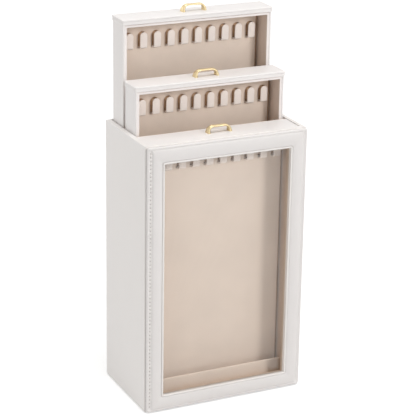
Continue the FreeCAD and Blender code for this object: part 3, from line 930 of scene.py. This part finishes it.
class ORGANIZER_OT_stitches(bpy.types.Operator):
    """Sews a row of whipped stitches down the left side of the padded front"""
    bl_idname = "organizer.stitches"
    bl_label = "Sew the Front"

    def execute(self, context):
        pad = settings().padding
        low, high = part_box("front_padding")
        width = high.x - lip_outline()[1].x - pad.lip_gap
        surface_y = high.y - padding_height(pad.side_channel, width, pad.side_channel, pad.side_crown)
        count = int((high.z - low.z - 2 * pad.stitch_margin) / pad.stitch_pitch)
        first_z = (low.z + high.z - (count - 1) * pad.stitch_pitch) / 2
        step = (0.0, 0.0, pad.stitch_pitch)
        x = pad.side_channel - high.x
        thread = thread_piece(pad.stitch_length, pad.thread_radius)
        start = (x, surface_y, first_z)
        add_row("stitches", thread, count, start, step, "thread", "case", "padded_wrap")
        # Dents between the stitches, darker with painted shade.
        painted_shade_dent = dent_piece(DENT_SHARE * pad.stitch_length)
        start = (x, surface_y, first_z - pad.stitch_pitch / 2)
        add_row("stitch_dents", painted_shade_dent, count + 1, start, step, "stitch_dent", "case", "padded_wrap")
        return {"FINISHED"}


class ORGANIZER_OT_base_felt(bpy.types.Operator):
    """Lays the soft felt sheet under the base"""
    bl_idname = "organizer.base_felt"
    bl_label = "Felt the Base"

    def execute(self, context):
        low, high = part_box("base_felt")
        add_piece("felt_sheet", box_bmesh(low + FELT_INSET, high - FELT_INSET), "felt", "case", "felt",
                  "base_felt", rounding=FELT_ROUND)
        return {"FINISHED"}


def strip_section(centre, across, normal, half_width, half_thickness):
    """Rounded rectangular section of a flat strip at one place along it."""
    radius = min(half_thickness, half_width) * STRIP_ROUND
    outline = rounded_plan(half_width, half_thickness, radius, arc_steps=3)
    return [centre + across * x + normal * depth for x, depth in outline]


def hook_row(drawer):
    """Middle of the first hook and the pitch of the row, from the solids."""
    hook = settings().hooks
    low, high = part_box(f"{drawer}_hooks")
    pitch = (high.x - low.x - hook.width) / (hook.count - 1)
    return low.x + hook.width / 2, pitch


def hook_piece(panel_low_y, panel_high_y, low_z, top_z):
    """One hook about x = 0: foot behind the panel, neck through it, arch-topped tongue in front."""
    hook = settings().hooks
    half = hook.thickness / 2
    neck_z = low_z + half
    back_y = panel_high_y + half
    front_y = panel_low_y - hook.standoff - half
    bend = HOOK_BEND * hook.thickness
    rise = Vector((0.0, -math.sin(hook.lean), math.cos(hook.lean)))
    upright = Vector((0.0, 0.0, 1.0))
    forward = Vector((0.0, -1.0, 0.0))
    across = Vector((1.0, 0.0, 0.0))
    half_width = hook.width / 2
    stations = []

    def add(centre, along, width):
        stations.append(strip_section(centre, across, along.cross(across), width, half))

    def turn(centre, before, after):
        for step in range(6):
            share = step / 5
            along = before.lerp(after, share).normalized()
            first = (centre - before * bend) * (1 - share) ** 2
            last = (centre + after * bend) * share ** 2
            add(first + centre * (2 * share * (1 - share)) + last, along, half_width)

    add(Vector((0.0, back_y, low_z - hook.foot)), upright, half_width)
    turn(Vector((0.0, back_y, neck_z)), upright, forward)
    corner = Vector((0.0, front_y, neck_z))
    turn(corner, forward, rise)
    spring = (top_z - neck_z) / rise.z - half_width
    add(corner + rise * spring, rise, half_width)
    for degrees in ARCH_DEGREES:
        angle = math.radians(degrees)
        add(corner + rise * (spring + half_width * math.sin(angle)), rise, half_width * math.cos(angle))
    return smooth(object_from_bmesh("hook_piece", loft(stations)), ROUND_SHARP)


class ORGANIZER_OT_hooks(bpy.types.Operator):
    """Hangs a row of velvet hooks on each drawer's panel"""
    bl_idname = "organizer.hooks"
    bl_label = "Fit the Hooks"

    def execute(self, context):
        hook = settings().hooks
        for drawer in DRAWERS:
            low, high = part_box(f"{drawer}_hooks")
            panel_low, panel_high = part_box(f"{drawer}_hook_panel")
            first, pitch = hook_row(drawer)
            piece = hook_piece(panel_low.y, panel_high.y, low.z + hook.foot, high.z)
            add_row(f"{drawer}_hook_row", piece, hook.count, (first, 0.0, 0.0), (pitch, 0.0, 0.0),
                    "hook_velvet", drawer, "velvet", f"{drawer}_hooks")
        return {"FINISHED"}


def add_outline(curve, points):
    """Adds a closed straight-sided outline to a flat curve."""
    spline = curve.splines.new("POLY")
    spline.points.add(len(points) - 1)
    for point, (x, z) in zip(spline.points, points):
        point.co = (x, z, 0.0, 1.0)
    spline.use_cyclic_u = True


def arch_outline(centre_x, half_width, low_z, top_z):
    """Square-footed outline with a round top."""
    points = [(centre_x + half_width, low_z)]
    spring = top_z - half_width
    for step in range(17):
        turn = math.pi * step / 16
        points.append((centre_x + half_width * math.cos(turn), spring + half_width * math.sin(turn)))
    points.append((centre_x - half_width, low_z))
    return points


class ORGANIZER_OT_hook_panels(bpy.types.Operator):
    """Cuts the velvet panels behind the hooks, with soft edges at every cut-out"""
    bl_idname = "organizer.hook_panels"
    bl_label = "Cut the Hook Panels"

    def execute(self, context):
        hook = settings().hooks
        for drawer in DRAWERS:
            low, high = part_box(f"{drawer}_hook_panel")
            row_low, row_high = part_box(f"{drawer}_hooks")
            first, pitch = hook_row(drawer)
            curve = bpy.data.curves.new(f"{drawer}_panel", "CURVE")
            curve.dimensions = "2D"
            curve.fill_mode = "BOTH"
            curve.extrude = (high.y - low.y) / 2 - hook.edge_round
            curve.bevel_depth = hook.edge_round
            curve.bevel_resolution = 2
            curve.offset = -hook.edge_round
            add_outline(curve, [(low.x, low.z), (high.x, low.z), (high.x, high.z), (low.x, high.z)])
            half = hook.width / 2 + hook.cutout_gap
            cut_low = row_low.z + hook.foot
            for index in range(hook.count):
                add_outline(curve, arch_outline(first + index * pitch, half, cut_low, row_high.z))
            made = add_object(curve.name, curve)
            mesh = evaluated_mesh(made)
            bpy.data.objects.remove(made)
            upright = Matrix.Rotation(math.radians(90), 4, "X")
            mesh.transform(Matrix.Translation((0.0, (low.y + high.y) / 2, 0.0)) @ upright)
            shape = bmesh.new()
            shape.from_mesh(mesh)
            add_piece(f"{drawer}_velvet_panel", shape, "velvet", drawer, "velvet", f"{drawer}_hook_panel",
                      sharp=PANEL_SHARP)
        return {"FINISHED"}


def frame_bmesh(outer_low, outer_high, inner_low, inner_high):
    """Rectangular frame standing in the XZ plane."""
    loops = []
    for low, high, y in ((outer_low, outer_high, outer_low.y), (outer_low, outer_high, outer_high.y),
                         (inner_low, inner_high, outer_high.y), (inner_low, inner_high, outer_low.y)):
        loops.append([Vector((low.x, y, low.z)), Vector((high.x, y, low.z)),
                      Vector((high.x, y, high.z)), Vector((low.x, y, high.z))])
    return loft(loops, close_round=True)


class ORGANIZER_OT_linings(bpy.types.Operator):
    """Lines each drawer with velvet behind a white leather edge, and adds its backing and fence"""
    bl_idname = "organizer.linings"
    bl_label = "Line the Drawers"

    def execute(self, context):
        for drawer in DRAWERS:
            low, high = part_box(f"{drawer}_lining")
            inner_low, inner_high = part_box(f"{drawer}_hook_panel")
            side_low, side_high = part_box(f"{drawer}_fence")
            inner_low.x = side_low.x
            inner_high.x = side_high.x
            edge_high = Vector((high.x, low.y + EDGE_DEPTH, high.z))
            edge = frame_bmesh(low, edge_high - EDGE_DROP, inner_low, inner_high)
            add_piece(f"{drawer}_leather_edge", edge, "edge_leather", drawer, "white_wrap",
                      rounding=EDGE_ROUND)
            low.y = edge_high.y
            # Velvet backing behind the panel; its darker colour is painted shade for the cavity behind the
            # cut-outs.
            backing_painted_shade = box_bmesh((inner_low.x, high.y - BACKING_THICKNESS, inner_low.z),
                                (inner_high.x, high.y, inner_high.z))
            add_piece(f"{drawer}_velvet_backing", backing_painted_shade, "backing_velvet", drawer, "velvet")
            # The lining's darker velvet is painted shade on the drawer's inner walls.
            lining = frame_bmesh(low, high, inner_low, inner_high)
            add_piece(f"{drawer}_velvet_lining", lining, "lining_velvet_painted_shade", drawer, "velvet",
                      f"{drawer}_lining", rounding=LINING_ROUND)
            add_piece(f"{drawer}_velvet_fence", box_bmesh(side_low, side_high), "velvet", drawer, "velvet",
                      f"{drawer}_fence", rounding=FENCE_ROUND)
        return {"FINISHED"}


def cap_profile(top, seam, foot, inset):
    """Pairs of inset and height up the edge of a cap: lower board, seam and upper board."""
    cap = settings().cap

    def roll(radius, edge, corner, up, inwards):
        """Quarter round from the vertical edge towards a corner height, or back from it."""
        turns = [math.pi / 2 * step / 4 for step in range(5)]
        if not inwards:
            turns.reverse()
        return [(edge + radius * (1 - math.cos(turn)), corner - up * radius * (1 - math.sin(turn)))
                for turn in turns]

    pairs = roll(cap.foot_roll, inset, foot, -1, False)
    pairs += roll(cap.seam_roll, inset, seam, 1, True)
    pairs[-1] = (pairs[-1][0], seam - cap.seam_height)
    pairs += [(inset + cap.seam_depth, seam - cap.seam_height), (inset + cap.seam_depth, seam)]
    pairs += roll(cap.seam_roll, 0.0, seam, -1, False)
    pairs += roll(cap.top_roll, 0.0, top, 1, True)
    return pairs


class ORGANIZER_OT_caps(bpy.types.Operator):
    """Wraps the two boards of each drawer's cap"""
    bl_idname = "organizer.caps"
    bl_label = "Wrap the Caps"

    def execute(self, context):
        cap = settings().cap
        for drawer in DRAWERS:
            low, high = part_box(f"{drawer}_cap_top")
            core_low, core_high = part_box(f"{drawer}_cap_core")
            middle = (low + high) / 2
            inset = high.x - core_high.x
            loops = []
            for shrink, z in cap_profile(high.z, low.z, core_low.z, inset):
                outline = rounded_plan(high.x - middle.x - shrink, high.y - middle.y - shrink,
                                       max(cap.corner - shrink, CAP_RADIUS_LEFT))
                loops.append([Vector((middle.x + x, middle.y + y, z)) for x, y in outline])
            add_piece(f"{drawer}_leather_cap", loft(loops), "drawer_leather", drawer, "white_wrap",
                      f"{drawer}_cap_top", f"{drawer}_cap_core", sharp=ROUND_SHARP)
        return {"FINISHED"}


def strap_section(width, thickness):
    """Closed outline of the strap: flat, thinner towards its edges, with ribs on both faces."""
    strap = settings().handle
    face = []
    steps = 12 * strap.ribs
    for step in range(steps + 1):
        across = -1 + 2 * step / steps
        edge = math.sqrt(max(1 - abs(across) ** 5, 0.0))
        rib = strap.rib * 0.5 * (1 - math.cos(2 * math.pi * strap.ribs * step / steps))
        half = max(thickness / 2 * edge - strap.rib + rib * edge, THINNEST_STRAP)
        face.append((half, across * width / 2))
    outline = face + [(-half, place) for half, place in reversed(face)]
    curve = bpy.data.curves.new("strap_section", "CURVE")
    curve.dimensions = "2D"
    add_outline(curve, outline)
    return add_object("strap_section", curve)


class ORGANIZER_OT_handles(bpy.types.Operator):
    """Sets a gold bridge handle on each cap"""
    bl_idname = "organizer.handles"
    bl_label = "Set the Handles"

    def execute(self, context):
        strap = settings().handle
        tree = bpy.data.node_groups.get("Bridge handle") or handle_tree()
        for drawer in DRAWERS:
            low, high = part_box(f"{drawer}_handle")
            name = f"{drawer}_gold_handle"
            made = add_object(name, bpy.data.meshes.new(name))
            foot = 1 + strap.foot_flare
            section = strap_section(strap.spread * (high.y - low.y) / foot, strap.thickness)
            run_tree(made, tree, {
                "Length": high.x - low.x - strap.thickness * strap.foot_flare, "Height": high.z - low.z,
                "Bend": strap.bend, "Thickness": strap.thickness, "Section": section,
                "Foot flare": strap.foot_flare, "Material": finish("gold")})
            bpy.data.objects.remove(section)
            made.data.transform(Matrix.Translation(((low.x + high.x) / 2, (low.y + high.y) / 2, low.z)))
            smooth(made)
            fit(made, drawer, "gold", f"{drawer}_handle")
        return {"FINISHED"}


# Stage

def area_lamp(name, place, size, power):
    """Square lamp that shines on the middle of the object."""
    lamp = bpy.data.lights.new(name, "AREA")
    lamp.shape = "RECTANGLE"
    lamp.size = size
    lamp.size_y = size
    lamp.energy = power
    made = add_object(name, lamp)
    made.location = place
    made.rotation_euler = (Vector(LAMP_TARGET) - Vector(place)).to_track_quat("-Z", "Y").to_euler()


def background_rays(tree):
    """1 for rays that show the surroundings as they are: straight, mirrored or seen through glass."""
    rays = tree.nodes.new("ShaderNodeLightPath")
    shown = rays.outputs["Is Camera Ray"]
    for label in ("Is Glossy Ray", "Is Transmission Ray"):
        shown = maths_node(tree, "MAXIMUM", shown, rays.outputs[label])
    return shown


def floor_material():
    """White floor that takes a soft shadow near the object; its glow is weaker near the object, a painted
    shade round it, and stronger further off.
    """
    material = bpy.data.materials.new("Studio floor")
    material.use_nodes = True
    tree = material.node_tree
    tree.nodes.remove(tree.nodes["Principled BSDF"])
    plain = tree.nodes.new("ShaderNodeBsdfDiffuse")
    plain.inputs["Color"].default_value = FLOOR_COLOUR
    shadow = tree.nodes.new("ShaderNodeBsdfDiffuse")
    shadow.inputs["Color"].default_value = SHADOW_COLOUR
    white = tree.nodes.new("ShaderNodeEmission")
    place = tree.nodes.new("ShaderNodeTexCoord")
    reach = tree.nodes.new("ShaderNodeVectorMath")
    reach.operation = "LENGTH"
    tree.links.new(place.outputs["Object"], reach.inputs[0])
    # Glow that grows with the distance from the object: weaker near it, as painted shade.
    tree.links.new(ranged(tree, reach.outputs["Value"], GLOW_REACH, FLOOR_GLOW), white.inputs["Strength"])
    lit = tree.nodes.new("ShaderNodeAddShader")
    mixed = tree.nodes.new("ShaderNodeMixShader")
    tree.links.new(shadow.outputs[0], lit.inputs[0])
    tree.links.new(white.outputs[0], lit.inputs[1])
    tree.links.new(background_rays(tree), mixed.inputs["Fac"])
    tree.links.new(plain.outputs[0], mixed.inputs[1])
    tree.links.new(lit.outputs[0], mixed.inputs[2])
    tree.links.new(mixed.outputs[0], tree.nodes["Material Output"].inputs["Surface"])
    return material


def studio_world(ambient):
    """White surroundings that light the object less than they show."""
    world = bpy.data.worlds.new("Studio")
    world.use_nodes = True
    tree = world.node_tree
    background = tree.nodes["Background"]
    strength = ranged(tree, background_rays(tree), (0.0, 1.0), (ambient, 1.0))
    tree.links.new(strength, background.inputs["Strength"])
    background.inputs["Color"].default_value = WORLD_COLOUR
    bpy.context.scene.world = world


class ORGANIZER_OT_stage(bpy.types.Operator):
    """Sets the floor, lamps and camera"""
    bl_idname = "organizer.stage"
    bl_label = "Set the Stage"

    def execute(self, context):
        stage = settings().stage
        scene = context.scene
        scene.view_settings.view_transform = "Standard"
        floor = bmesh.new()
        bmesh.ops.create_grid(floor, x_segments=1, y_segments=1, size=FLOOR_REACH)
        made = object_from_bmesh("floor", floor)
        paint(made, floor_material())
        for name, place, size, power in LAMPS:
            area_lamp(name, place, size, getattr(stage, power))
        studio_world(stage.ambient)

        level = math.cos(stage.elevation)
        back = Vector((math.sin(stage.azimuth) * level, -math.cos(stage.azimuth) * level,
                       math.sin(stage.elevation)))
        turned = Matrix.Rotation(stage.azimuth, 3, "Z")
        turned = turned @ Matrix.Rotation(math.pi / 2 - stage.elevation, 3, "X")
        turned = turned @ Matrix.Rotation(stage.roll, 3, "Z")
        camera = bpy.data.cameras.new("camera")
        camera.lens = stage.lens
        camera.sensor_width = SENSOR_WIDTH
        camera.clip_end = VIEW_LIMIT
        made = add_object("camera", camera)
        place = Vector(stage.aim) + back * stage.distance
        made.matrix_world = Matrix.Translation(place) @ turned.to_4x4()
        scene.camera = made
        return {"FINISHED"}


class ORGANIZER_PT_panel(bpy.types.Panel):
    """Lists the pieces in the sidebar"""
    bl_idname = "ORGANIZER_PT_panel"
    bl_label = "Jewellery Organizer"
    bl_space_type = "VIEW_3D"
    bl_region_type = "UI"
    bl_category = "Organizer"

    def draw(self, context):
        for operator in OPERATORS:
            self.layout.operator(operator.bl_idname)
        for part in ("stage", "finish", "padding", "hooks", "handle", "cap"):
            group = getattr(settings(), part)
            box = self.layout.box()
            box.label(text=part.capitalize())
            for name in group.__annotations__:
                box.prop(group, name)


OPERATORS = (
    ORGANIZER_OT_boards,
    ORGANIZER_OT_window_trim,
    ORGANIZER_OT_padded_front,
    ORGANIZER_OT_stitches,
    ORGANIZER_OT_base_felt,
    ORGANIZER_OT_hook_panels,
    ORGANIZER_OT_hooks,
    ORGANIZER_OT_linings,
    ORGANIZER_OT_caps,
    ORGANIZER_OT_handles,
    ORGANIZER_OT_stage,
)
SETTINGS = (StageSettings, FinishSettings, PaddingSettings, HookSettings, HandleSettings, CapSettings,
            OrganizerSettings)


def register():
    for kind in SETTINGS + OPERATORS + (ORGANIZER_PT_panel,):
        bpy.utils.register_class(kind)
    bpy.types.Scene.organizer = PointerProperty(type=OrganizerSettings)


def unregister():
    del bpy.types.Scene.organizer
    for kind in reversed(SETTINGS + OPERATORS + (ORGANIZER_PT_panel,)):
        bpy.utils.unregister_class(kind)


def write_sizes():
    """Defines a helper that rounds the corners of a box; nothing is written."""
    def plain(box):
        return [[round(value, 6) for value in corner] for corner in box]


def main():
    register()
    for operator in OPERATORS:
        group, name = operator.bl_idname.split(".")
        getattr(getattr(bpy.ops, group), name)()
    write_sizes()


if __name__ == "__main__":
    main()
